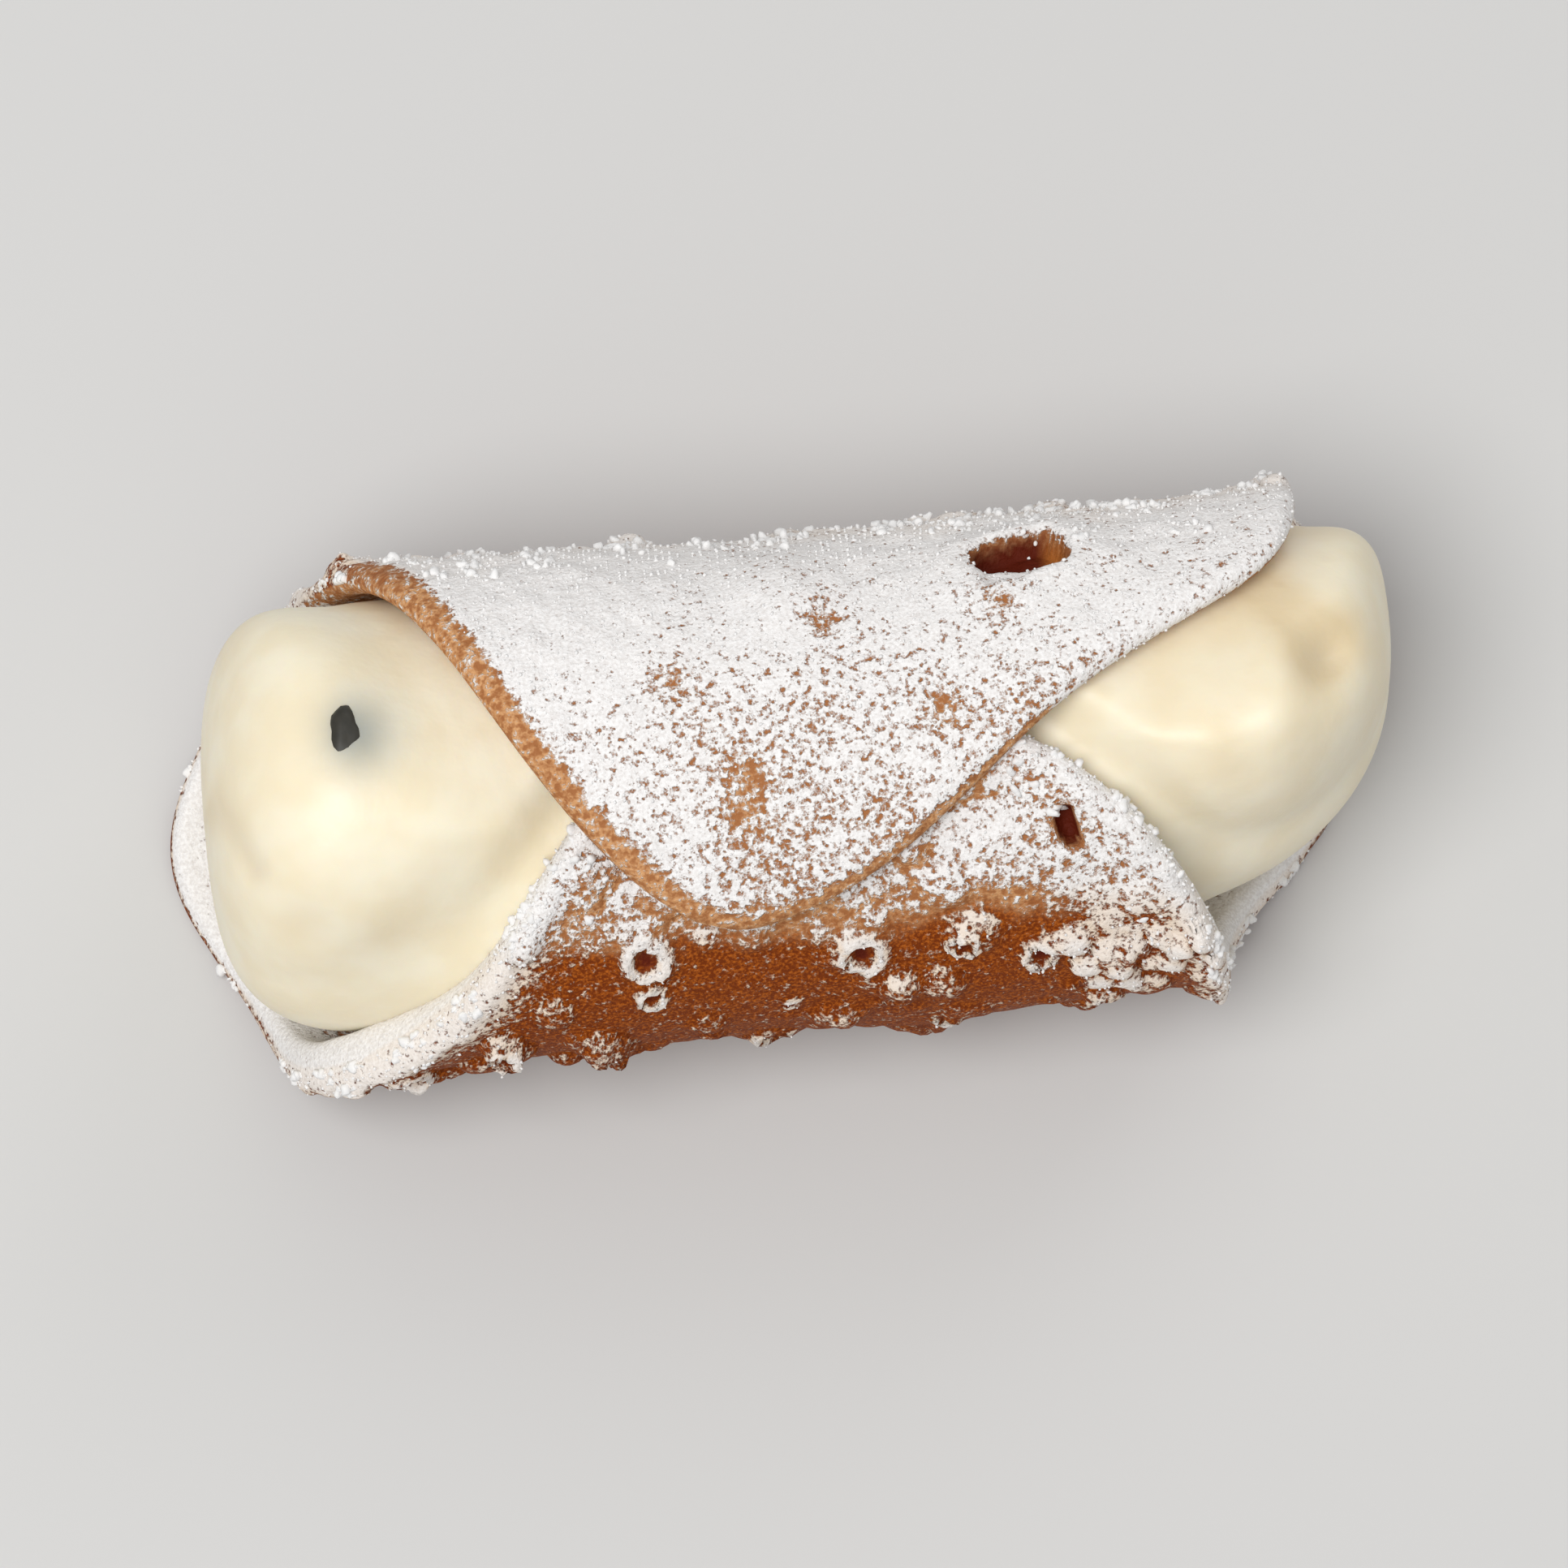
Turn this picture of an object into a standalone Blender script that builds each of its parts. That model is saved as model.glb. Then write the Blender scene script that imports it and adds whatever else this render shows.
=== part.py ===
"""A filled cannolo lying on its side.

Two nodes: the fried pastry shell, one oval of dough rolled round a tube so that its rounded tip overlaps
the other edge, and the cream, piped through the shell from end to end. Metres, +Z up, +X along the roll.
The origin is on the table under the middle of the pastry.
"""

import math
import random

import bmesh
import bpy
from mathutils import Vector
from mathutils.noise import noise

# The dough blank, laid flat: a lozenge to the left and a full oval to the right, with two hollows in its
# edge. A hollow is an angle round the blank from +X, its half width, and its depth as a share of the reach.
LEFT_REACH = 0.0373
RIGHT_REACH = 0.0436
BLANK_MIDDLE = -0.0030
LEFT_FULLNESS = 0.7
RIGHT_FULLNESS = 2.2
CORNER_SOFTNESS = 0.20
EDGE_HOLLOWS = (
    (math.radians(31), math.radians(22.5), 0.24),
    (math.radians(-64), math.radians(22), 0.15),
    (math.radians(-42), math.radians(7), -0.02),
    (math.radians(-22), math.radians(14), 0.13),
    (math.radians(143), math.radians(16), -0.10),
)
DOUGH_THICKNESS = 0.0016

# The roll. Turns are counted from the tip of the flap, back over the top and round under the roll.
TUBE_DIAMETER = 0.0302
OVERLAP = math.radians(64.5)
TIP_FORWARD = math.radians(50)
SKEW = math.radians(0.19) / 0.001
SEAM_GAP = 0.0004
LIFT_EASE = math.radians(110)
LEFT_FLARE = 0.0020
RIGHT_FLARE = 0.0010
UNEVENNESS = 0.0005
UNEVEN_SCALE = 0.016

# Large blisters raised by frying, as domes over the rolled sheet.
PUFF_COUNT = 16
PUFF_RADIUS = (0.0040, 0.0065)
PUFF_HEIGHT = (0.0004, 0.0008)
PUFF_SEED = 5

# The filling. It swells out of the slanting mouths of the shell and ends in soft domes. For each end: where
# it stops, where its dome starts, how full the dome is, and how far it leans, back and up.
CREAM_GAP = 0.00035
CREAM_LEFT = (0.0372, 0.0250, 2.6, (0, 0, -0.25))
CREAM_RIGHT = (0.0390, 0.0180, 2.2, (0, 0.50, 0.0))
CREAM_BULGE = 0.0022
CREAM_BULGE_RUN = 0.0065
FOLD_PITCH = 0.0078
FOLD_DEPTH = 0.0005

# The roll is flattened a little where it rests.
REST_FLAT = 0.0003

# Mesh fineness.
SHEET_ALONG = 34
SHEET_ROUND = 46
CREAM_RINGS = 34
CREAM_SEGMENTS = 44

MID_RADIUS = (TUBE_DIAMETER - DOUGH_THICKNESS) / 2
INNER_RADIUS = MID_RADIUS - DOUGH_THICKNESS / 2
TOTAL_TURN = 2 * math.pi + OVERLAP
HALF_WRAP = TOTAL_TURN * MID_RADIUS / 2
AXIS_HEIGHT = TUBE_DIAMETER / 2 - REST_FLAT


def smoothstep(t):
    t = min(max(t, 0.0), 1.0)
    return t * t * (3 - 2 * t)


def soft(component):
    """Absolute value with its corner rounded, still 1 at 1."""
    return math.hypot(component, CORNER_SOFTNESS) / math.hypot(1, CORNER_SOFTNESS)


def hollow(angle):
    """The share of the blank's reach that is left where its edge is hollow."""
    left = 1.0
    for centre, half_width, depth in EDGE_HOLLOWS:
        away = (angle - centre + math.pi) % (2 * math.pi) - math.pi
        left *= 1 - depth * math.exp(-((away / half_width) ** 2))
    return left


def blank_radius(angle):
    """How far the blank reaches from its middle."""
    along, across = math.cos(angle), math.sin(angle)
    reach, fullness = (RIGHT_REACH, RIGHT_FULLNESS) if along > 0 else (LEFT_REACH, LEFT_FULLNESS)

    def size(x, y):
        return ((soft(x) / reach) ** fullness + (soft(y) / HALF_WRAP) ** fullness) ** (1 / fullness)

    evened = size(1, 0) * reach * along**2 + size(0, 1) * HALF_WRAP * across**2
    return hollow(angle) * evened / size(along, across)


def blank_overhang(along, turn):
    """Distance past the blank's edge of a point of the flat dough, about; negative on the dough."""
    across = turn * MID_RADIUS - HALF_WRAP
    steepness = 0.75
    reach = math.hypot(along - BLANK_MIDDLE, across)
    return steepness * (reach - blank_radius(math.atan2(across, along - BLANK_MIDDLE)))


def flap_lift(turn):
    """The flap rides over the other edge by one thickness, and eases down to the tube behind it."""
    return (DOUGH_THICKNESS + SEAM_GAP) * (1 - smoothstep((turn - OVERLAP) / LIFT_EASE))


def forward_at(along, turn):
    """The angle from the top towards the front, -Y, of a point of the rolled dough. The roll is a bit askew."""
    return TIP_FORWARD + SKEW * along - turn


def mouth_flare(along, forward):
    """The ends open outwards, except underneath, where the roll rests."""
    upper = (1 + math.cos(forward)) / 2
    flare = RIGHT_FLARE if along > 0 else LEFT_FLARE
    return flare * upper * abs(along / RIGHT_REACH) ** 3


def unevenness(along, forward):
    """Slow waves over the roll, the same for the shell and for the cream inside it."""
    place = Vector((along, math.sin(forward) * MID_RADIUS, math.cos(forward) * MID_RADIUS))
    return UNEVENNESS * noise(place / UNEVEN_SCALE)


def rolled(along, forward, radius):
    """A place on or in the roll, at its angle from the top towards the front."""
    return Vector((along, -radius * math.sin(forward), AXIS_HEIGHT + radius * math.cos(forward)))


def puffs():
    """Centres, radii and heights of the large blisters, spread over the flat dough."""
    chance = random.Random(PUFF_SEED)
    found = []
    for _ in range(PUFF_COUNT):
        angle = chance.uniform(0, 2 * math.pi)
        share = 0.85 * math.sqrt(chance.random())
        centre = Vector((math.cos(angle), math.sin(angle))) * blank_radius(angle) * share
        found.append((centre, chance.uniform(*PUFF_RADIUS), chance.uniform(*PUFF_HEIGHT)))
    return found


def puff_rise(flat, blisters):
    rise = 0.0
    for centre, radius, height in blisters:
        rise = max(rise, height * smoothstep(1 - (flat - centre).length / radius))
    return rise


def material(name, colour, roughness):
    made = bpy.data.materials.new(name)
    made.use_nodes = True
    shader = made.node_tree.nodes["Principled BSDF"]
    shader.inputs["Base Color"].default_value = (*colour, 1)
    shader.inputs["Roughness"].default_value = roughness
    shader.inputs["Metallic"].default_value = 0.0
    return made


def add_object(name, work, finish, parent):
    mesh = bpy.data.meshes.new(name)
    work.to_mesh(mesh)
    work.free()
    mesh.shade_smooth()
    mesh.materials.append(finish)
    made = bpy.data.objects.new(name, mesh)
    made.parent = parent
    bpy.context.scene.collection.objects.link(made)
    return made


def make_shell(parent):
    """A grid shaped into the dough blank, rolled up, and given the dough's thickness."""
    blisters = puffs()
    work = bmesh.new()
    bmesh.ops.create_grid(work, x_segments=SHEET_ALONG, y_segments=SHEET_ROUND, size=1)
    for corner in work.verts:
        x = corner.co.x * math.sqrt(1 - corner.co.y**2 / 2)
        y = corner.co.y * math.sqrt(1 - corner.co.x**2 / 2)
        angle = math.atan2(y, x)
        flat = Vector((math.cos(angle), math.sin(angle))) * blank_radius(angle) * math.hypot(x, y)
        along = BLANK_MIDDLE + flat.x
        turn = (flat.y + HALF_WRAP) / MID_RADIUS
        forward = forward_at(along, turn)
        radius = MID_RADIUS + flap_lift(turn) + mouth_flare(along, forward) + unevenness(along, forward)
        corner.co = rolled(along, forward, radius + puff_rise(flat, blisters))
    bmesh.ops.recalc_face_normals(work, faces=work.faces)
    outwards = work.faces[:][len(work.faces) // 2]
    middle = outwards.calc_center_median() - Vector((0, 0, AXIS_HEIGHT))
    if outwards.normal.yz.dot(middle.yz) < 0:
        bmesh.ops.reverse_faces(work, faces=work.faces)
    shell = add_object("shell", work, material("fried_pastry", (0.66, 0.35, 0.12), 0.75), parent)

    thicken = shell.modifiers.new("dough thickness", "SOLIDIFY")
    thicken.thickness = DOUGH_THICKNESS
    thicken.offset = 0
    return shell


def flatten_underneath(piece, parent):
    """Cuts off what would lie below the table, which leaves a narrow flat strip to rest on."""
    bpy.ops.mesh.primitive_cube_add(size=1)
    table = bpy.context.object
    table.name = piece.name + "_rest_cutter"
    table.scale = (4 * RIGHT_REACH, 4 * TUBE_DIAMETER, TUBE_DIAMETER)
    table.location.z = -TUBE_DIAMETER / 2
    table.hide_render = True
    table.display_type = "WIRE"
    table.parent = parent
    cut = piece.modifiers.new("resting flat", "BOOLEAN")
    cut.operation = "DIFFERENCE"
    cut.object = table


def cream_room(along, forward):
    """How far past every edge of the shell a direction lies, at this place along it."""
    turn = forward_at(along, forward) % (2 * math.pi)
    overhang = blank_overhang(along, turn)
    if turn < OVERLAP:
        overhang = min(overhang, blank_overhang(along, turn + 2 * math.pi))
    return overhang


def make_cream(parent):
    """A sphere stretched through the shell: it fills the roll, swells out of both mouths and ends in soft domes."""
    work = bmesh.new()
    bmesh.ops.create_uvsphere(work, u_segments=CREAM_SEGMENTS, v_segments=CREAM_RINGS, radius=1)
    for corner in work.verts:
        share = 1 - 2 * math.acos(min(max(corner.co.z, -1), 1)) / math.pi
        forward = math.atan2(-corner.co.y, corner.co.x)
        end, dome_start, dome_power, lean = CREAM_RIGHT if share > 0 else CREAM_LEFT
        spread = math.sin(abs(share) * math.pi / 2) ** 0.9
        along = math.copysign(spread * end, share)
        past = max(0.0, (abs(along) - dome_start) / (end - dome_start))
        narrowing = (1 - min(past, 1) ** dome_power) ** (1 / dome_power)

        swell = smoothstep((cream_room(along, forward) - CREAM_GAP) / CREAM_BULGE_RUN)
        fold = math.cos(2 * math.pi * (abs(along) / FOLD_PITCH + math.sin(forward) / 3))
        full = INNER_RADIUS - CREAM_GAP + unevenness(along, forward)
        radius = (full + swell * (CREAM_BULGE + FOLD_DEPTH * fold)) * narrowing
        corner.co = rolled(along, forward, radius) + Vector(lean) * full * (1 - narrowing)
    if work.calc_volume(signed=True) < 0:
        bmesh.ops.reverse_faces(work, faces=work.faces)
    return add_object("cream", work, material("piped_cream", (0.86, 0.74, 0.50), 0.35), parent)


def centre_over_origin(anchor, pieces):
    """Moves everything so that the bounding box of the finished pieces is centred over the origin."""
    bpy.context.view_layer.update()
    graph = bpy.context.evaluated_depsgraph_get()
    corners = [Vector(c) for piece in pieces for c in piece.evaluated_get(graph).bound_box]
    anchor.location.x = -(min(c.x for c in corners) + max(c.x for c in corners)) / 2
    anchor.location.y = -(min(c.y for c in corners) + max(c.y for c in corners)) / 2


def main():
    for old in list(bpy.data.objects):
        bpy.data.objects.remove(old)
    anchor = bpy.data.objects.new("cannolo", None)
    bpy.context.scene.collection.objects.link(anchor)
    shell = make_shell(anchor)
    flatten_underneath(shell, anchor)
    cream = make_cream(anchor)
    centre_over_origin(anchor, [shell, cream])


main()
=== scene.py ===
import math
import random

import bmesh
import bpy
import numpy as np
from mathutils import Matrix, Vector, noise


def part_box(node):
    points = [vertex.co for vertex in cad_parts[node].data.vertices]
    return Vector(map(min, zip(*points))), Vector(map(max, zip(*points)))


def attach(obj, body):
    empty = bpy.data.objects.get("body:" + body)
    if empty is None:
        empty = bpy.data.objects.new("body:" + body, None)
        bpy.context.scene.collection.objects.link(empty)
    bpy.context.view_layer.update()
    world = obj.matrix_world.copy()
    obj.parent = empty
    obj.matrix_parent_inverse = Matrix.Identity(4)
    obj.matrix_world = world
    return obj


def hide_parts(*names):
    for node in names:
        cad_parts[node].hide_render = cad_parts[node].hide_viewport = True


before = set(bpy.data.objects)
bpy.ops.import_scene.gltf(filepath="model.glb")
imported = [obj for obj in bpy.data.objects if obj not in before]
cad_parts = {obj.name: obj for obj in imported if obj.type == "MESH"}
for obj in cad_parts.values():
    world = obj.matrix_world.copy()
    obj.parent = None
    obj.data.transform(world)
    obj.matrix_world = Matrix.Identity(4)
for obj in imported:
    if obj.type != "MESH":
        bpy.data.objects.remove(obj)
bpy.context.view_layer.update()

# The fried shell. One oval of sweet dough is rolled round a steel tube, so that its rounded tip laps over the
# other edge, and is deep fried until it is crisp. Frying raises blisters, some of which burst into rings, and
# powdered sugar sifted from above lies thick on the flap and the lips and leaves the front wall brown. That
# wall's deeper brown is partly the crust's own colour and partly painted shade.
mm = 0.001
degree = math.pi / 180

left_reach = 37.3 * mm
right_reach = 43.6 * mm
blank_middle = -3.0 * mm
left_fullness = 0.7
right_fullness = 2.2
corner_softness = 0.20
edge_hollows = (
    (31 * degree, 22.5 * degree, 0.24), (-64 * degree, 22 * degree, 0.15), (-42 * degree, 7 * degree, -0.02),
    (-22 * degree, 14 * degree, 0.13), (143 * degree, 16 * degree, -0.10),
)

dough_thickness = 1.6 * mm
tube_diameter = 30.2 * mm
middle_radius = (tube_diameter - dough_thickness) / 2
inner_radius = middle_radius - dough_thickness / 2
rest_flat = 0.3 * mm
axis_height = tube_diameter / 2 - rest_flat
overlap = 64.5 * degree
tip_forward = 50 * degree
skew = 0.19 * degree / mm
seam_gap = 0.4 * mm
lift_ease = 110 * degree
half_wrap = (2 * math.pi + overlap) * middle_radius / 2
# The edge runs aslant to the line from the middle of the dough, so the way straight across is this much shorter.
across_the_edge = 0.75


def smoothstep(low, high, value):
    share = np.clip((value - low) / (high - low), 0, 1)
    return share * share * (3 - 2 * share)


def bump_at(distance, width):
    """A soft round hill, 1 at its top."""
    return np.exp(-((distance / width) ** 2))


def waviness(points, size, seed=0):
    """Smooth noise from -1 to 1 over an array of points, with hills about as wide as the given size."""
    moved = points / size + (17.3 * seed, 5.1 * seed, -11.7 * seed)
    return np.array([noise.noise(Vector(point)) for point in moved.reshape(-1, 3)]).reshape(moved.shape[:-1])


def softened(component):
    """Absolute value with its corner rounded, still 1 at 1."""
    return np.hypot(component, corner_softness) / math.hypot(1, corner_softness)


def blank_reach(angle):
    """How far the flat dough reaches from its middle: a lozenge to the left, a full oval to the right."""
    along, across = np.cos(angle), np.sin(angle)
    reach = np.where(along > 0, right_reach, left_reach)
    fullness = np.where(along > 0, right_fullness, left_fullness)

    def size(x, y):
        return ((softened(x) / reach) ** fullness + (softened(y) / half_wrap) ** fullness) ** (1 / fullness)

    edge = (size(1, 0) * reach * along**2 + size(0, 1) * half_wrap * across**2) / size(along, across)
    for centre, half_width, depth in edge_hollows:
        away = (angle - centre + math.pi) % (2 * math.pi) - math.pi
        edge = edge * (1 - depth * bump_at(away, half_width))
    return edge


def forward_at(along, turn):
    """The angle from the top towards the front, -Y, of a point of the rolled dough. The roll is a bit askew."""
    return tip_forward + skew * along - turn


def mouth_flare(along, forward):
    """The ends open outwards, except underneath, where the roll rests."""
    flare = np.where(along > 0, 1.2 * mm, 3.0 * mm)
    return flare * (1 + np.cos(forward)) / 2 * np.abs(along / right_reach) ** 3


def unevenness(along, forward):
    """Slow waves over the roll, the same for the shell and for the cream inside it."""
    round_the_roll = np.stack([along, np.sin(forward) * middle_radius, np.cos(forward) * middle_radius], -1)
    return 0.5 * mm * waviness(round_the_roll, 16 * mm)


def rolled(along, forward, radius):
    return np.stack([along, -radius * np.sin(forward), axis_height + radius * np.cos(forward)], -1)


class Sheet:
    """The rolled dough as a grid, finer at its edges, with the places that its relief and finish go by."""

    def __init__(self, steps_along, steps_round):
        def spread(steps):
            even = np.linspace(-1, 1, steps + 1)
            return even * (1 + 0.27 * (1 - even**2))

        a, b = np.meshgrid(spread(steps_along), spread(steps_round), indexing="ij")
        x, y = a * np.sqrt(1 - b**2 / 2), b * np.sqrt(1 - a**2 / 2)
        angle = np.arctan2(y, x)
        reach = blank_reach(angle)
        share = np.hypot(x, y)
        self.along = blank_middle + np.cos(angle) * reach * share
        self.across = np.sin(angle) * reach * share
        self.turn = (self.across + half_wrap) / middle_radius
        self.forward = forward_at(self.along, self.turn)
        self.from_edge = across_the_edge * (1 - share) * reach
        self.flat = np.stack([self.along, self.across, np.zeros_like(self.along)], -1)
        lift = (dough_thickness + seam_gap) * (1 - smoothstep(0, lift_ease, self.turn - overlap))
        puffed = unevenness(self.along, self.forward)
        self.radius = middle_radius + lift + mouth_flare(self.along, self.forward) + puffed

    def distance(self, along, forward):
        """Distance over the dough to a place on the roll, counted on its outer turn."""
        turn = forward_at(along, forward) % (2 * math.pi)
        return np.hypot(self.along - along, (self.turn - turn) * middle_radius)


sheet = Sheet(236, 300)
chance = random.Random(11)
flap = 1 - smoothstep(100 * degree, 150 * degree, sheet.turn)
under_lip = smoothstep(150 * degree, 200 * degree, sheet.turn)


def dome(distance, radius, height):
    return height * np.sqrt(np.clip(1 - (distance / radius) ** 2, 0, 1))


def burst(distance, radius, height):
    """A burst blister: a raised ring with a hollow in it."""
    ring = bump_at(distance - radius, 0.32 * radius)
    return height * (ring - 1.6 * (1 - smoothstep(0.4 * radius, 0.9 * radius, distance)))


def anywhere():
    """A random place on the flat dough."""
    angle = chance.uniform(0, 2 * math.pi)
    reach = float(blank_reach(np.array(angle))) * math.sqrt(chance.random())
    return blank_middle + math.cos(angle) * reach, math.sin(angle) * reach


relief = np.zeros_like(sheet.along)
pits = np.zeros_like(sheet.along)
crests = np.zeros_like(sheet.along)
walls = np.zeros_like(sheet.along)

# Large puffs, then small blisters, which are lower and fewer on the flap.
for _ in range(20):
    along, across = anywhere()
    away = np.hypot(sheet.along - along, sheet.across - across)
    relief += chance.uniform(0.3, 0.8) * mm * (1 - smoothstep(0, chance.uniform(4.0, 6.5) * mm, away))

for _ in range(520):
    along, across = anywhere()
    on_flap = (across + half_wrap) / middle_radius < 120 * degree
    radius = chance.uniform(0.5, 1.7) * mm * (0.75 if on_flap else 1)
    height = radius * chance.uniform(0.2, 0.5) * (0.35 if on_flap else 1)
    hill = dome(np.hypot(sheet.along - along, sheet.across - across), radius, height)
    relief += hill
    crests = np.maximum(crests, 0.5 * hill / (0.6 * mm))

# Burst blisters on the front and underneath: place along, degrees forward, radius.
for along, forward, radius in (
    (-10.5, 50.5, 1.15), (-10.4, 63, 0.8), (2.8, 56, 1.2), (9.2, 56, 0.85), (13.9, 62.6, 0.95),
    (-1.8, 73, 0.45), (4.5, 75, 0.45), (-20, 80, 0.9), (-26, 96, 1.2), (-3, 100, 1.1),
    (8, 94, 0.8), (18, 90, 1.0), (-14, 112, 1.3), (3, 128, 1.0), (20, 115, 0.9), (-24, 130, 1.1),
    (-8, -128, 1.3), (12, -118, 1.0), (24, -135, 1.2), (-22, -112, 1.1), (2, -150, 0.9),
):
    away = sheet.distance(along * mm, forward * degree)
    away = away * (1 + 0.18 * waviness(sheet.flat, 0.9 * mm, 5))
    relief += burst(away, radius * mm, 0.45 * radius * mm)
    # The middle of each ring is a pit. It takes no sugar and is painted near-black red-brown, a painted shadow.
    pits = np.maximum(pits, 1 - smoothstep(0.35 * radius * mm, 0.75 * radius * mm, away))
    crests = np.maximum(crests, 1.5 * bump_at(away - radius * mm, 0.30 * radius * mm))

# Sugared bumps that crowd the front wall beside the right mouth.
for _ in range(46):
    along, forward = chance.uniform(15, 27), chance.uniform(36, 82)
    radius = chance.uniform(0.5, 1.15)
    hill = dome(sheet.distance(along * mm, forward * degree), radius * mm, 0.55 * radius * mm)
    relief = np.maximum(relief, 0.5 * relief + hill)
    crests = np.maximum(crests, 1.3 * hill / (0.6 * mm))

# Two blisters that lost their roofs: a large one with straight sides on the flap, a small one by its edge.
for along, forward, length, width, turned, depth, raised in (
    (15.0, -38.5, 3.3, 2.0, 20, 1.30, 0.5), (16.1, 27, 0.7, 1.4, 10, 1.0, 0.25),
):
    turn = forward_at(along * mm, forward * degree) % (2 * math.pi) + (2 * math.pi if forward > 10 else 0)
    x, y = sheet.along - along * mm, (turn - sheet.turn) * middle_radius
    cosine, sine = math.cos(turned * degree), math.sin(turned * degree)
    out = (np.abs((x * cosine - y * sine) / length) ** 4 + np.abs((x * sine + y * cosine) / width) ** 4) ** (1 / 4)
    out = out / mm + 0.12 * waviness(sheet.flat, 1.2 * mm, 8)
    relief += raised * mm * bump_at(np.maximum(out - 1, 0), 0.7)
    inside_it = 1 - smoothstep(0.72, 1.02, out)
    to_right = smoothstep(0.35, 0.75, x / (length * mm)) * (length > 1)
    to_front = smoothstep(-0.1, 0.6, y / (width * mm)) * (length > 1)
    relief -= (depth + raised) * mm * inside_it * (1 - 0.5 * to_front)
    # The hollow is painted near-black red-brown, a painted shadow, except for its orange right-hand wall.
    pits = np.maximum(pits, (1 - smoothstep(0.85, 1.02, out)) * (1 - to_front * (1 - to_right)))
    walls = np.maximum(walls, inside_it * to_right)

forward_degrees = ((sheet.forward + math.pi) % (2 * math.pi) - math.pi) / degree

# Frying roughness, and the beads that stand along the lips, which are thicker than the rest.
relief += 0.10 * mm * waviness(sheet.flat, 1.7 * mm, 1) + 0.05 * mm * waviness(sheet.flat, 0.7 * mm, 2)
beading = 0.5 + 0.5 * waviness(sheet.flat, 2.0 * mm, 3)
relief += bump_at(sheet.from_edge - 0.8 * mm, 1.3 * mm) * (0.25 + 0.75 * under_lip) * (0.2 + beading) * 0.55 * mm

half_thickness = dough_thickness / 2 + 0.25 * mm * under_lip * bump_at(sheet.from_edge, 2.5 * mm)
front_lip = under_lip * bump_at((forward_degrees - 85) / 45, 1) * bump_at(sheet.from_edge, 2.6 * mm)
edge_round = np.sqrt(np.clip(1 - (1 - np.clip(sheet.from_edge / (0.9 * mm), 0, 1)) ** 2, 0, 1))
outside = rolled(sheet.along, sheet.forward, sheet.radius + (half_thickness + relief) * edge_round)
inside_relief = 0.08 * mm * waviness(sheet.flat, 2.5 * mm, 4)
inside_relief += 1.5 * mm * front_lip
# A tan bubble stands inside the back rim of the left mouth.
bubble = sheet.distance(-35.3 * mm, -132 * degree)
inside_relief += dome(bubble, 1.5 * mm, 1.5 * mm)
inside = rolled(sheet.along, sheet.forward, sheet.radius - (half_thickness + inside_relief) * edge_round)

# The sugar: thick where the dough faces up, on the flap most of all towards its back, and on the lips.
normals = np.cross(np.gradient(outside, axis=0), np.gradient(outside, axis=1))
normals /= np.linalg.norm(normals, axis=-1, keepdims=True) + 1e-12
facing_up = normals[..., 2]
forward = forward_degrees * degree
front_limit = 0.70 - 0.32 * smoothstep(12, 20, sheet.along / mm) - 0.12 * smoothstep(-12, -22, sheet.along / mm)
bare_limit = np.where(forward > 0, front_limit, 0.15)
dusted = smoothstep(-0.15, 0.2, facing_up - bare_limit)
thick = 0.74 + 0.34 * smoothstep(8, -38, forward_degrees) + 0.18 * flap * smoothstep(-2, -12, sheet.along / mm)
thick = thick + 0.22 * waviness(sheet.flat, 5 * mm, 6)
cover = -0.25 + dusted * (thick + 0.25)
lips = bump_at(sheet.from_edge, 2.4 * mm) * smoothstep(-0.35, 0.35, facing_up) * under_lip
cover = np.maximum(cover, 1.05 * lips)
cover = np.maximum(cover, crests * smoothstep(-0.1, 0.3, facing_up) * 0.9)
for along, degrees in ((-7.5, -14), (2.4, -25), (13.4, -26), (9.3, -1.5), (-3.2, 8), (-3.5, 16)):
    cover -= 0.45 * flap * bump_at(sheet.distance(along * mm, degrees * degree), 1.3 * mm)
bare_width = 0.6 * mm + 1.0 * mm * smoothstep(-2 * mm, -10 * mm, sheet.along)
flap_left = (1 - smoothstep(0.6, 1.3, sheet.from_edge / bare_width)) * smoothstep(8 * mm, 2 * mm, sheet.along) * flap
cover = cover * (1 - flap_left) + 0.12 * flap_left
cover = cover * (1 - pits) - 0.6 * pits
clumps = 0.5 + 0.5 * waviness(sheet.flat, 1.1 * mm, 9)
sugar_depth = np.clip(cover, 0, 1.1) * (0.08 + 0.22 * clumps) * mm * edge_round
outside = outside + normals * sugar_depth[..., None]

# The roll sits where its plain solid does.
shell_low, shell_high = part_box("shell")
plain = rolled(sheet.along, sheet.forward, sheet.radius + dough_thickness / 2 * edge_round).reshape(-1, 3)
settle = (np.array(shell_low) + np.array(shell_high) - plain.min(0) - plain.max(0)) / 2 * (1, 1, 0)


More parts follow.
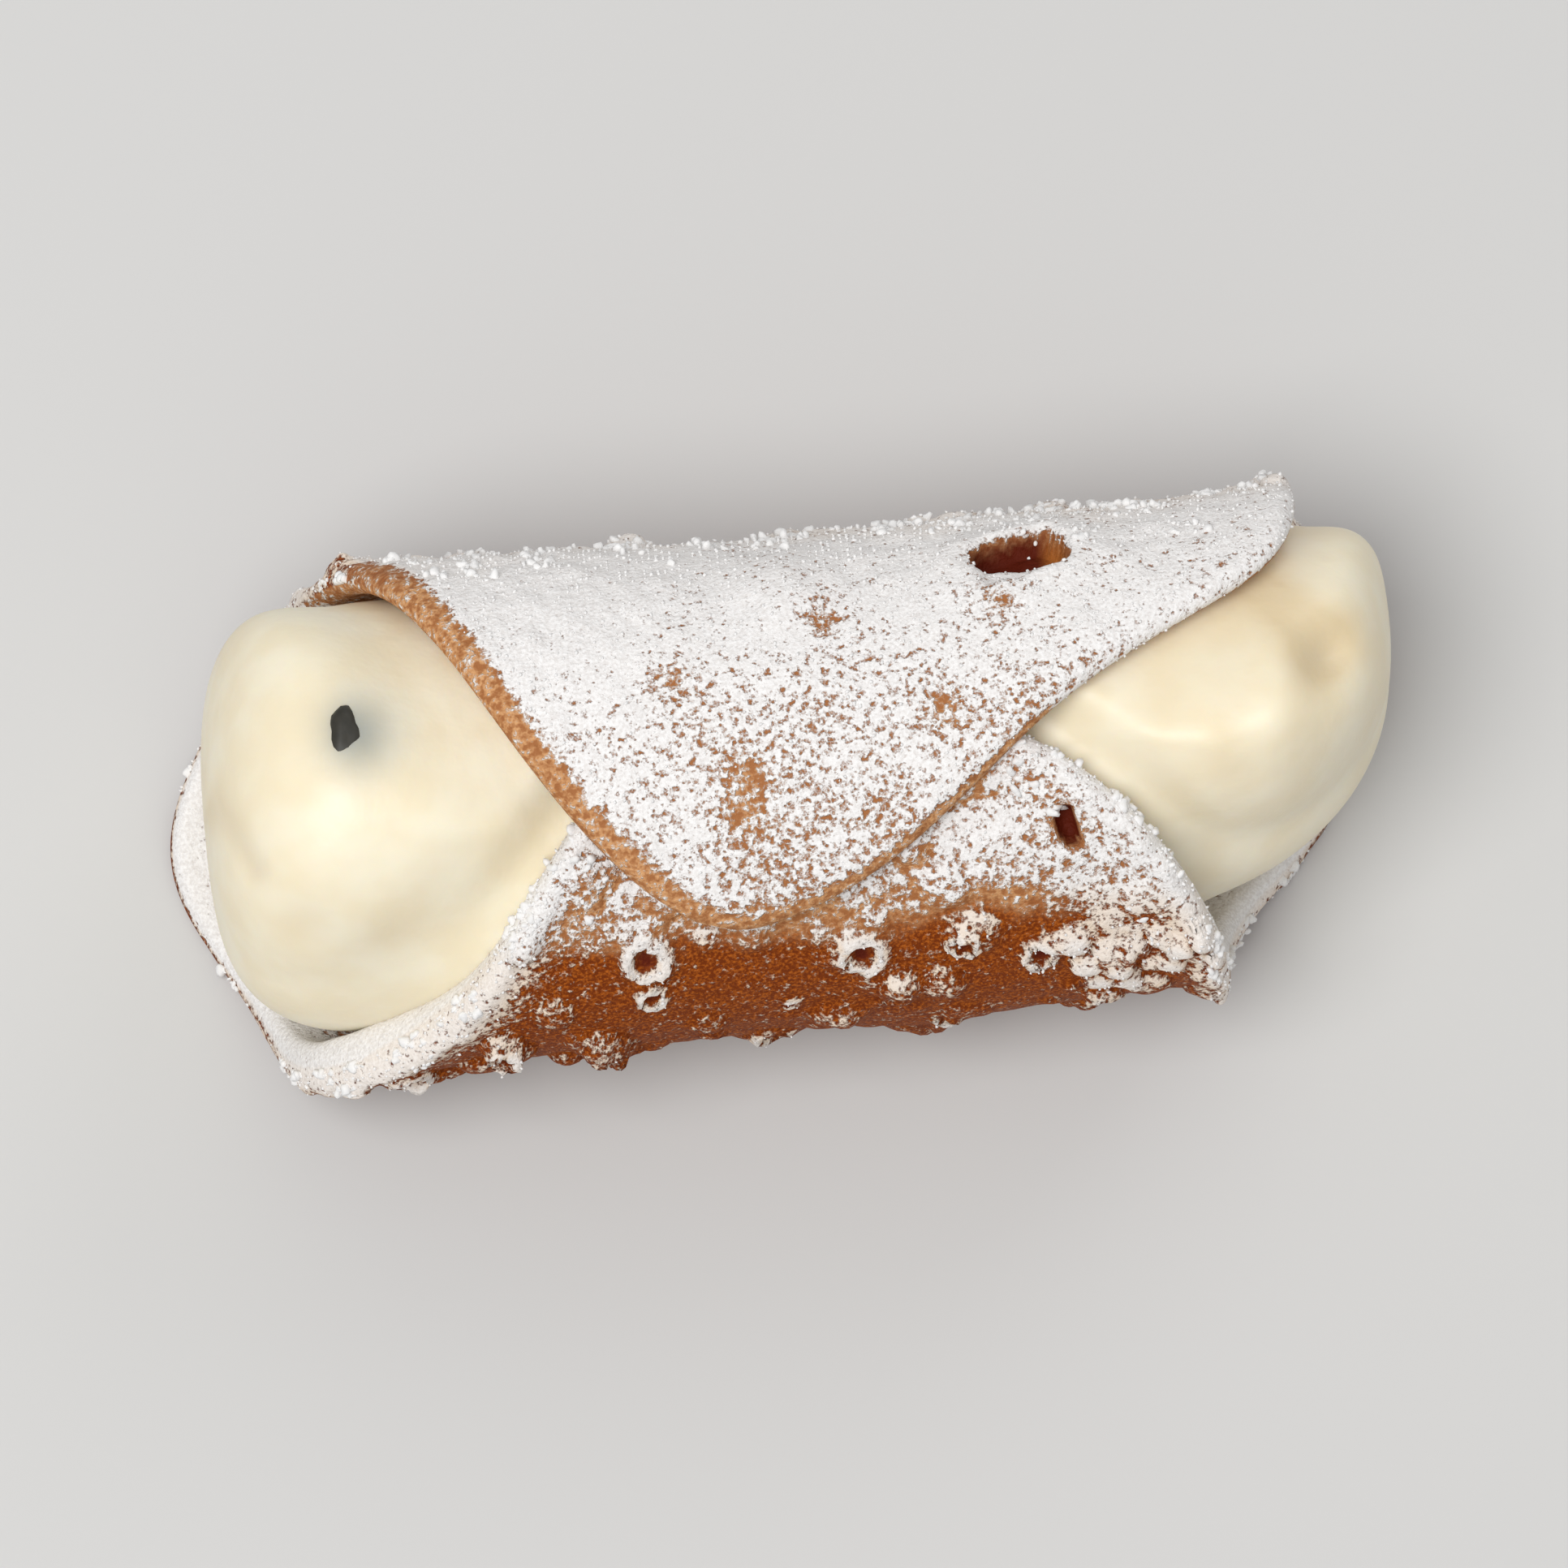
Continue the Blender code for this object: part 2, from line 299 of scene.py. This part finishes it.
def sheet_mesh(name, outer, inner):
    rows, columns = outer.shape[:2]
    number = np.arange(rows * columns).reshape(rows, columns)
    faces = []
    for i in range(rows - 1):
        for j in range(columns - 1):
            faces.append((number[i, j], number[i + 1, j], number[i + 1, j + 1], number[i, j + 1]))
    inner_number = {}
    points = list(map(tuple, outer.reshape(-1, 3)))
    for i in range(2, rows - 1, 2):
        for j in range(2, columns - 1, 2):
            inner_number[i, j] = len(points)
            points.append(tuple(inner[i, j]))

    def corner(i, j):
        return inner_number.get((i, j), number[i, j])

    for i in range(0, rows - 1, 2):
        for j in range(0, columns - 1, 2):
            ring = [corner(i, j)]
            if j == 0:
                ring.append(number[i + 1, 0])
            ring.append(corner(i + 2, j))
            if i + 2 == rows - 1:
                ring.append(number[rows - 1, j + 1])
            ring.append(corner(i + 2, j + 2))
            if j + 2 == columns - 1:
                ring.append(number[i + 1, columns - 1])
            ring.append(corner(i, j + 2))
            if i == 0:
                ring.append(number[0, j + 1])
            faces.append(tuple(reversed(ring)))
    mesh = bpy.data.meshes.new(name)
    mesh.from_pydata(points, [], faces)
    mesh.update()
    return mesh


def settled(points):
    moved = points + settle
    moved[..., 2] = np.maximum(moved[..., 2], 0.0)
    return moved


shell_mesh = sheet_mesh("shell_crust", settled(outside), settled(inside))
shell_mesh.shade_smooth()


def add_piece(name, mesh):
    piece = bpy.data.objects.new(name, mesh)
    bpy.context.scene.collection.objects.link(piece)
    return piece


shell = add_piece("shell_crust", shell_mesh)


class Wire:
    """One output of a node. Arithmetic on wires adds Math nodes, so a finish reads as plain sums."""

    def __init__(self, finish, socket):
        self.finish = finish
        self.socket = socket

    def maths(self, operation, first, second):
        return self.finish.node("ShaderNodeMath", {"operation": operation}, {0: first, 1: second})

    def __add__(self, other):
        return self.maths("ADD", self, other)

    def __radd__(self, other):
        return self.maths("ADD", other, self)

    def __sub__(self, other):
        return self.maths("SUBTRACT", self, other)

    def __rsub__(self, other):
        return self.maths("SUBTRACT", other, self)

    def __mul__(self, other):
        return self.maths("MULTIPLY", self, other)

    def __rmul__(self, other):
        return self.maths("MULTIPLY", other, self)


class Finish:
    """A material: one Principled BSDF, the nodes that feed it, and the piece's own coordinates."""

    def __init__(self, name, **constants):
        self.material = bpy.data.materials.new(name)
        self.material.use_nodes = True
        self.tree = self.material.node_tree
        self.surface = self.tree.nodes["Principled BSDF"]
        for socket, value in constants.items():
            self.surface.inputs[socket.replace("_", " ")].default_value = value
        self.place = self.node("ShaderNodeTexCoord", {}, {}, "Object")

    def node(self, kind, settings, sockets, output=0):
        made = self.tree.nodes.new(kind)
        for name, value in settings.items():
            setattr(made, name, value)
        for name, value in sockets.items():
            self.plug(made.inputs[name], value)
        return Wire(self, made.outputs[output])

    def plug(self, socket, value):
        if isinstance(value, Wire):
            self.tree.links.new(value.socket, socket)
        else:
            socket.default_value = value

    def feed(self, socket, value):
        self.plug(self.surface.inputs[socket], value)

    def noise(self, size, detail=2.0, roughness=0.5):
        sockets = {"Vector": self.place, "Scale": 1 / size, "Detail": detail, "Roughness": roughness}
        return self.node("ShaderNodeTexNoise", {}, sockets)

    def attribute(self, name):
        return self.node("ShaderNodeAttribute", {"attribute_name": name}, {}, "Fac")

    def step(self, low, high, value):
        settings = {"interpolation_type": "SMOOTHSTEP"}
        return self.node("ShaderNodeMapRange", settings, {"Value": value, "From Min": low, "From Max": high})

    def blend(self, share, first, second):
        settings = {"data_type": "RGBA"}
        return self.node("ShaderNodeMix", settings, {0: share, 6: first, 7: second}, 2)

    def bump(self, height, distance, strength=1.0):
        sockets = {"Height": height, "Distance": distance, "Strength": strength}
        return self.node("ShaderNodeBump", {}, sockets)


def store(mesh, name, values):
    mesh.attributes.new(name, "FLOAT", "POINT").data.foreach_set("value", np.asarray(values, dtype=np.float32))


inner_edge = sheet.from_edge[2:-2:2, 2:-2:2].ravel()
inner_up = -np.cos(forward[2:-2:2, 2:-2:2]).ravel()
inner_points = np.ones_like(inner_edge)
inner_front = bump_at((forward_degrees[2:-2:2, 2:-2:2].ravel() - 90) / 65, 1)
inner_lip = np.maximum(smoothstep(-0.3, 0.5, inner_up), inner_front)
inner_sugar = 0.15 + 1.3 * bump_at(inner_edge, 3.2 * mm) * inner_lip
# The front wall, which faces forward and down, is coloured a deeper brown than the golden bare crust: partly the
# crust's own colour, partly painted shade.
front_wall = smoothstep(30 * degree, 62 * degree, np.abs(forward)) * (1 - flap * 0.6)
browning_and_shade = front_wall
inner_sugar -= 1.2 * bump_at(bubble[2:-2:2, 2:-2:2].ravel(), 1.5 * mm)
store(shell_mesh, "sugar", np.concatenate([cover.ravel(), inner_sugar]))
store(shell_mesh, "pit_shadow", np.concatenate([pits.ravel(), 0 * inner_points]))
store(shell_mesh, "wall", np.concatenate([walls.ravel(), 0 * inner_points]))
store(shell_mesh, "browning_and_shade", np.concatenate([browning_and_shade.ravel(), 0.2 * inner_points]))

crust = Finish("sugared_crust", Specular_IOR_Level=0.08)
grain = crust.noise(0.50 * mm, 2, 0.6)
fine = crust.noise(0.22 * mm, 2, 0.6)
patches = crust.noise(5 * mm, 2, 0.5)
pit_shadow = crust.attribute("pit_shadow")
amount = crust.attribute("sugar") + (grain - 0.5) * 2.6 + (fine - 0.5) * 1.2
sugared = crust.step(0.25, 0.80, amount)
golden = crust.blend(crust.step(0.35, 0.65, grain), (0.36, 0.14, 0.050, 1), (0.68, 0.37, 0.17, 1))
# A darker brown, flecked lighter orange at random, for the front wall; its extra darkness is painted shade.
brown = crust.blend(crust.step(0.40, 0.72, fine), (0.17, 0.029, 0.002, 1), (0.44, 0.110, 0.010, 1))
browned_and_shaded = crust.step(0.25, 0.75, crust.attribute("browning_and_shade") + (patches - 0.5) * 0.7)
# The hollows of burst blisters are painted a near-black red-brown, a painted shadow over the crust's own red-brown.
# The right-hand wall of the large pit keeps a plain orange crust colour.
hollow_shadow_and_wall = crust.blend(crust.attribute("wall"), (0.10, 0.012, 0.004, 1), (0.50, 0.17, 0.035, 1))
bare = crust.blend(pit_shadow, crust.blend(browned_and_shaded, golden, brown), hollow_shadow_and_wall)
white = crust.blend(crust.step(0.3, 0.7, fine), (0.74, 0.71, 0.69, 1), (0.88, 0.865, 0.855, 1))
# Sugar on the front wall is tinted tan, most where it is thin. This follows the same mask, so the tint is partly sugar
# over crust and partly painted shade.
thin = 1.0 - 0.7 * crust.step(0.5, 1.1, crust.attribute("sugar"))
white = crust.blend(browned_and_shaded * thin * 0.8, white, (0.80, 0.63, 0.47, 1))
crust.feed("Base Color", crust.blend(sugared, bare, white))
crust.feed("Roughness", 0.6 + sugared * 0.35)
crust.feed("Normal", crust.bump(sugared * 0.5 + grain * 0.6 + fine * 0.4, 0.20 * mm, 1.0))
shell_mesh.materials.append(crust.material)
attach(shell, "root")
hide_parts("shell")

# The filling. Sweet cream is piped into the shell from both ends, so it fills the roll and swells out of its
# slanting mouths in soft lobes and folds.
cream_gap = 0.35 * mm
cream_swell = 2.2 * mm
swell_run = 6.5 * mm
# The radius by which an angle round the cream is turned into a length over it.
skin_radius = 13.0
rings, segments = 220, 200
share = np.linspace(-1, 1, rings + 1)[1:-1, None] * np.ones((1, segments))
round_cream = np.linspace(-math.pi, math.pi, segments, endpoint=False)[None, :] * np.ones((rings - 1, 1))


# Lobes and dimples of the piping: place along, degrees forward, width, height.
cream_lobes = (
    (-28, -5, 8, 0.4), (-31.2, 34, 1.8, -0.35), (-26, 44, 1.8, -0.30),
    (34, -42, 4.0, 1.3), (33.2, -4, 2.3, -1.3), (36.0, 12, 2.8, 0.7), (29.5, 8, 2.4, 0.6), (25, -8, 3.5, 0.5),
)
# Creases between two runs of piping: their two ends, width and depth.
cream_creases = (
    (-36.5, -4, -34, 18, 0.8, 0.6), (27.5, -40, 33.0, -8, 1.7, 1.2),
    (21.5, -18, 23, 16, 2.0, 0.30), (26.6, -26, 27.2, 18, 1.9, 0.35),
)


def from_crease(along, forward, crease):
    """Distance over the cream to the line between two places."""
    start = np.array((crease[0], crease[1] * degree * skin_radius)) * mm
    line = np.array((crease[2], crease[3] * degree * skin_radius)) * mm - start
    x, y = along - start[0], forward * skin_radius * mm - start[1]
    share = np.clip((x * line[0] + y * line[1]) / (line @ line), 0, 1)
    return np.hypot(x - share * line[0], y - share * line[1])


def cream_relief(along, forward):
    relief = 0.12 * mm * waviness(np.stack([along, forward * skin_radius * mm, 0 * along], -1), 5 * mm, 12)
    for place, degrees, width, height in cream_lobes:
        away = np.hypot(along - place * mm, (forward - degrees * degree) * skin_radius * mm)
        relief = relief + height * mm * bump_at(away, width * mm)
    for crease in cream_creases:
        relief = relief - crease[5] * mm * bump_at(from_crease(along, forward, crease), crease[4] * mm)
    return relief


def overhang(along, turn):
    """How far past the edge of the dough a place on the roll lies."""
    across = turn * middle_radius - half_wrap
    reach = np.hypot(along - blank_middle, across)
    return across_the_edge * (reach - blank_reach(np.arctan2(across, along - blank_middle)))


def cream_surface(share, forward):
    right = share > 0
    end = np.where(right, 38.6 * mm, 37.4 * mm)
    along = np.sign(share) * np.sin(np.abs(share) * math.pi / 2) ** 0.9 * end
    backwards = smoothstep(-0.5, 0.9, np.cos(forward + 60 * degree))
    dome_start = np.where(right, 16 * mm + 8 * mm * backwards, 24 * mm)
    power = np.where(right, 2.1 + 0.8 * backwards, 2.9)
    past = np.clip((np.abs(along) - dome_start) / (end - dome_start), 0, 1)
    narrowing = (1 - past**power) ** (1 / power)
    turn = forward_at(along, forward) % (2 * math.pi)
    past_lip = overhang(along, turn + 2 * math.pi)
    room = np.where(turn < overlap, np.minimum(overhang(along, turn), past_lip), overhang(along, turn))
    lift = (dough_thickness + seam_gap) * (1 - smoothstep(0, lift_ease, turn - overlap))
    lift = lift * smoothstep(0.8 * mm, 3.5 * mm, past_lip) * smoothstep(0, 50 * degree, turn)
    swell = smoothstep(0, swell_run, room - cream_gap) * smoothstep(-0.1, 0.7, np.cos(forward + 30 * degree))
    full = inner_radius - cream_gap + unevenness(along, forward) + mouth_flare(along, forward)
    to_lip = smoothstep(0.1, 0.8, np.cos(forward - 90 * degree))
    full = full - np.where(right, 2.2 * mm, 1.0 * mm) * smoothstep(17 * mm, 26 * mm, np.abs(along)) * to_lip
    full = full + 0.9 * lift
    radius = (full + swell * cream_swell) * narrowing + swell * cream_relief(along, forward) * smoothstep(0, 0.55, narrowing)
    surface = rolled(along, forward, radius)
    surface[..., 1] += np.where(right, 0.55, 0.05) * full * (1 - narrowing)
    surface[..., 2] -= np.where(right, 0.30, 0.38) * full * (1 - narrowing)
    return surface


surface = cream_surface(share, round_cream)
ends = [cream_surface(np.array(side), np.array(0.0)) for side in (-1.0, 1.0)]
points = np.concatenate([surface.reshape(-1, 3), np.array(ends)]) + settle
faces = []
for i in range(rings - 2):
    for j in range(segments):
        k = (j + 1) % segments
        faces.append((i * segments + j, i * segments + k, (i + 1) * segments + k, (i + 1) * segments + j))
left_pole, right_pole = len(points) - 2, len(points) - 1
last = (rings - 2) * segments
for j in range(segments):
    k = (j + 1) % segments
    faces.append((left_pole, k, j))
    faces.append((last + j, last + k, right_pole))
cream_mesh = bpy.data.meshes.new("piped_cream")
cream_mesh.from_pydata(list(map(tuple, points)), [], faces)
cream_mesh.shade_smooth()
cream = add_piece("piped_cream", cream_mesh)
along_cream, forward_cream = points[:-2, 0] - settle[0], round_cream.ravel()
# Painted shade: the cream's creases and dimples are darkened towards tan. This is stored as the crease attribute.
crease_shade = sum(crease[5] * bump_at(from_crease(along_cream, forward_cream, crease), 1.2 * crease[4] * mm)
              for crease in cream_creases)
for place, degrees, width, height in cream_lobes:
    if height < 0:
        away = np.hypot(along_cream - place * mm, (forward_cream - degrees * degree) * skin_radius * mm)
        crease_shade = crease_shade - 0.8 * height * bump_at(away, width * mm)
# The cream is grey-blue round the chip of chocolate that lies in it.
chip_along, chip_forward = -27.4 * mm, -8 * degree
round_to_chip = (forward_cream - chip_forward) * 14.5 * mm
halo = bump_at(np.hypot(along_cream - chip_along - 0.8 * mm, round_to_chip), 2.3 * mm)
store(cream_mesh, "crease", np.append(np.clip(crease_shade, 0, 1), (0, 0)))
store(cream_mesh, "halo", np.append(halo, (0, 0)))

custard = Finish("piped_cream", Roughness=0.44, Subsurface_Weight=0.30, Subsurface_Scale=0.0025,
                 Subsurface_Radius=(1.0, 0.75, 0.4))
mottle = custard.noise(5 * mm, 2, 0.5)
pale = custard.blend(custard.step(0.3, 0.7, mottle), (0.86, 0.76, 0.55, 1), (0.90, 0.83, 0.65, 1))
# Painted shade: the cream turns tan in its creases and dimples.
shaded = custard.blend(custard.attribute("crease") * 0.6, pale, (0.66, 0.50, 0.27, 1))
custard.feed("Base Color", custard.blend(custard.attribute("halo") * 0.80, shaded, (0.25, 0.275, 0.26, 1)))
custard.feed("Normal", custard.bump(custard.noise(1.2 * mm, 2, 0.5), 0.10 * mm, 0.5))
cream_mesh.materials.append(custard.material)
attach(cream, "root")
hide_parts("cream")

# One chip of dark chocolate, stirred into the cream, has come to rest just under its surface at the left end.
chip_work = bmesh.new()
bmesh.ops.create_icosphere(chip_work, subdivisions=3, radius=1)
for corner in chip_work.verts:
    corner.co *= 1 + 0.28 * noise.noise(corner.co * 1.6 + Vector((3, 1, 2)))
    corner.co = Vector((corner.co.x * 1.0, corner.co.y * 2.0, corner.co.z * 0.85)) * mm
chip_mesh = bpy.data.meshes.new("chocolate_chip")
chip_work.to_mesh(chip_mesh)
chip_work.free()
chip_mesh.shade_smooth()
chip_piece = add_piece("chocolate_chip", chip_mesh)
nearest = np.argmin(np.hypot(along_cream - chip_along, round_to_chip))
chip_place = points[nearest] - np.array((0, 0, 0.58 * mm))
chip_mesh.transform(Matrix.Translation(Vector(chip_place)))
dark = Finish("dark_chocolate", Roughness=0.55)
dark.feed("Base Color", dark.blend(dark.noise(0.6 * mm), (0.012, 0.012, 0.008, 1), (0.035, 0.030, 0.020, 1)))
chip_mesh.materials.append(dark.material)
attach(chip_piece, "root")

# Loose powdered sugar. It clings in lumps along the back edge, the lips and the blisters, and as single grains
# wherever the dusting is thick.
grid_normals = normals.reshape(-1, 3)
grid_points = settled(outside).reshape(-1, 3)
grid_cover = np.clip(cover, 0, 1).ravel()
grid_forward = forward.ravel()
grid_edge = (sheet.from_edge / mm).ravel()


def scattered(name, count, clump, weights, sizes, subdivisions, seed, sink):
    """Irregular blobs on the crust, more of them where the weights are high, joined into one mesh."""
    dice = np.random.default_rng(seed)
    centres = dice.choice(len(weights), count // clump, p=weights / weights.sum())
    drift = dice.integers(-4, 5, (count // clump, clump, 2)) * (clump > 1)
    rows, columns = np.divmod(centres, sheet.along.shape[1])
    rows = np.clip(rows[:, None] + drift[..., 0], 0, sheet.along.shape[0] - 1)
    columns = np.clip(columns[:, None] + drift[..., 1], 0, sheet.along.shape[1] - 1)
    spots = (rows * sheet.along.shape[1] + columns).ravel()
    count = len(spots)
    blob = bmesh.new()
    bmesh.ops.create_icosphere(blob, subdivisions=subdivisions, radius=1)
    ball = np.array([corner.co for corner in blob.verts])
    sides = np.array([[corner.index for corner in face.verts] for face in blob.faces])
    blob.free()
    radii = sizes[0] + (sizes[1] - sizes[0]) * dice.random(count) ** 2
    knobs = dice.normal(size=(count, 9, 3))
    knobs /= np.linalg.norm(knobs, axis=-1, keepdims=True)
    swell = np.clip(np.einsum("vc,nkc->nvk", ball, knobs), 0, 1) ** 6
    shapes = ball[None] * (0.62 + 0.60 * swell.sum(-1))[..., None] * radii[:, None, None]
    places = grid_points[spots] + grid_normals[spots] * (radii * (1 - 2 * sink))[:, None]
    places[:, 2] = np.maximum(places[:, 2], radii * 2.0)
    everything = (shapes + places[:, None]).reshape(-1, 3)
    faces = (sides[None] + (np.arange(count) * len(ball))[:, None, None]).reshape(-1, 3)
    mesh = bpy.data.meshes.new(name)
    mesh.from_pydata(everything.tolist(), [], faces.tolist())
    mesh.shade_smooth()
    piece = add_piece(name, mesh)
    mesh.materials.append(sugar_finish.material)
    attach(piece, "root")
    return piece


sugar_finish = Finish("powdered_sugar", Roughness=0.95)
clumped = sugar_finish.noise(0.3 * mm)
sugar_finish.feed("Base Color", sugar_finish.blend(clumped, (0.76, 0.75, 0.74, 1), (0.88, 0.87, 0.865, 1)))
area = np.linalg.norm(np.cross(np.gradient(outside, axis=0), np.gradient(outside, axis=1)), axis=-1).ravel()
back_edge = bump_at((grid_forward / degree + 78), 22) * (sheet.turn.ravel() < math.pi)
lip_edge = bump_at(grid_edge, 1.6) * under_lip.ravel()
lump_weights = area * grid_cover**2 * (0.01 + 1.4 * back_edge + 1.0 * lip_edge)
scattered("sugar_lumps", 1000, 8, lump_weights, (0.10 * mm, 0.36 * mm), 2, 21, 0.50)
scattered("sugar_grains", 4000, 1, area * grid_cover**3, (0.05 * mm, 0.13 * mm), 1, 22, 0.3)

# The table is a sheet of pale paper, far larger than the picture. One large soft lamp hangs over the left front,
# a weaker one stands behind on the right, and the room is an even white.
table_mesh = bpy.data.meshes.new("table_top")
half = 1.5
table_mesh.from_pydata([(-half, -half, 0), (half, -half, 0), (half, half, 0), (-half, half, 0)], [], [(0, 1, 2, 3)])
table = add_piece("table_top", table_mesh)
table.location.z = -0.05 * mm
paper = Finish("pale_table", Roughness=0.8, Base_Color=(0.60, 0.595, 0.585, 1))
table_mesh.materials.append(paper.material)

centre = Vector((0, 0, axis_height))


def add_light(name, direction, distance, size, power):
    lamp = bpy.data.lights.new(name, "AREA")
    lamp.shape = "DISK"
    lamp.size = size
    lamp.energy = power
    holder = bpy.data.objects.new(name, lamp)
    holder.location = centre + Vector(direction).normalized() * distance
    holder.rotation_euler = (centre - holder.location).to_track_quat("-Z", "Y").to_euler()
    bpy.context.scene.collection.objects.link(holder)


add_light("window", (-0.30, -0.22, 1.0), 0.7, 0.45, 3.6)
add_light("reflector", (0.7, 0.9, 0.8), 0.8, 0.5, 0.9)
world = bpy.data.worlds.new("soft_room")
world.use_nodes = True
world.node_tree.nodes["Background"].inputs["Color"].default_value = (1, 1, 1, 1)
world.node_tree.nodes["Background"].inputs["Strength"].default_value = 0.45
bpy.context.scene.world = world

azimuth, elevation = -6 * degree, 78 * degree
away = Vector((math.sin(azimuth) * math.cos(elevation), -math.cos(azimuth) * math.cos(elevation), math.sin(elevation)))
camera = bpy.data.objects.new("camera", bpy.data.cameras.new("camera"))
camera.data.lens = 200
camera.data.clip_start = 0.01
camera.location = centre + away * 0.55
camera.rotation_euler = away.to_track_quat("Z", "Y").to_euler()
bpy.context.scene.collection.objects.link(camera)
bpy.context.scene.camera = camera
bpy.context.scene.view_settings.view_transform = "Standard"
